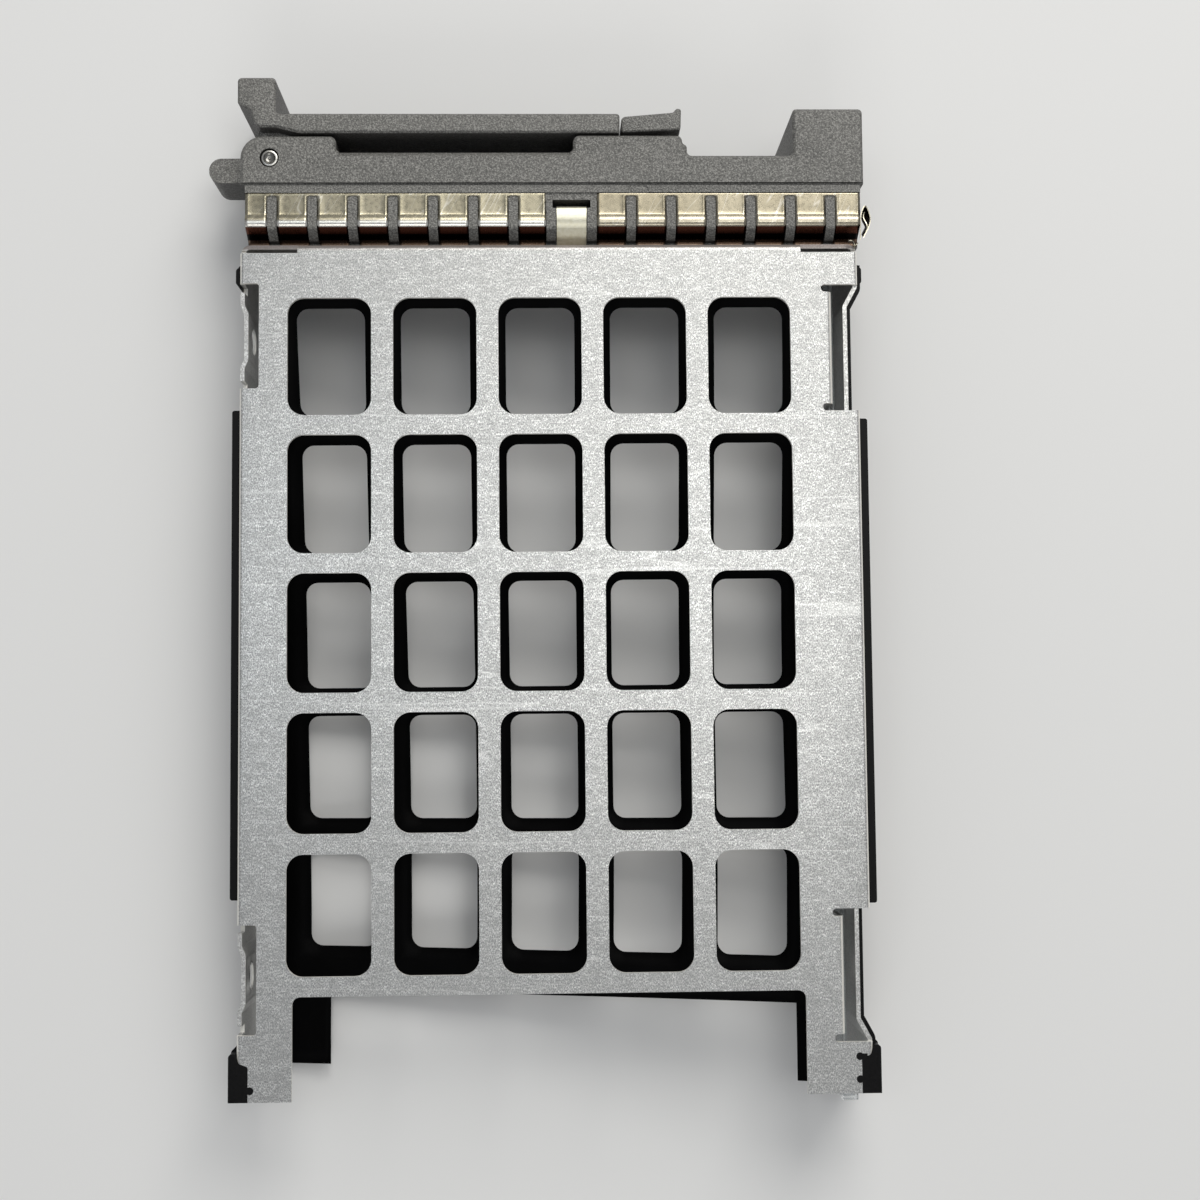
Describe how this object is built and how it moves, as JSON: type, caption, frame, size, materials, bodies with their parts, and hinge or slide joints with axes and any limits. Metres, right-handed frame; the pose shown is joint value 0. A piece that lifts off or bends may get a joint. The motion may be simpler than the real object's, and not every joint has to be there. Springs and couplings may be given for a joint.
{
  "type": "hot swap drive caddy",
  "caption": "Folded steel tray with a cast bezel, swinging ejector lever, release button, side rails and light pipes for a 2.5 inch drive.",
  "frame": {"origin": "on the bezel's underside, on the tray's centre line and on the shoulder where the bezel seats against the chassis", "axes": "-Y is the front with the lever, +Z is the windowed plate, +X is the lever's pivot side"},
  "size_m": [0.0804, 0.1246, 0.0172],
  "materials": {
    "steel": "galvanised sheet with a fine grain",
    "casting": "grey paint with a fine sand texture",
    "gasket": "bright plated spring foil, tan tone",
    "clip": "bright plated spring strip",
    "film": "thin black film, satin",
    "tape": "black foam tape",
    "rail": "moulded black plastic, satin",
    "pin": "turned steel",
    "spring": "spring wire",
    "pipe": "clear moulded plastic"
  },
  "bodies": {
    "frame": {"cage": "steel", "insulator_film": "film", "film_tape": "tape", "right_rail": "rail", "left_rail": "rail", "bezel": "casting", "lever_pin": "pin", "button_pin": "pin", "lever_spring": "spring", "button_spring": "spring", "gasket_right": "gasket", "gasket_left": "gasket", "gasket_under_right": "gasket", "gasket_under_left": "gasket", "ground_clip": "clip", "light_pipe_upper": "pipe", "light_pipe_lower": "pipe", "bezel_screws": "pin"},
    "lever": {"ejector_lever": "casting"},
    "button": {"release_button": "casting"}
  },
  "joints": [
    {"name": "lever_swing", "type": "hinge", "parent": "frame", "child": "lever", "pos_m": [0.0338, -0.0032, 0.0086], "axis": [0, 0, 1], "range_deg": [0, 55]},
    {"name": "button_press", "type": "hinge", "parent": "frame", "child": "button", "pos_m": [-0.0106, -0.0033, 0.0086], "axis": [0, 0, -1], "range_deg": [0, 6], "stiffness_Nm_per_rad": 0.02, "springref_deg": -11.46}
  ]
}
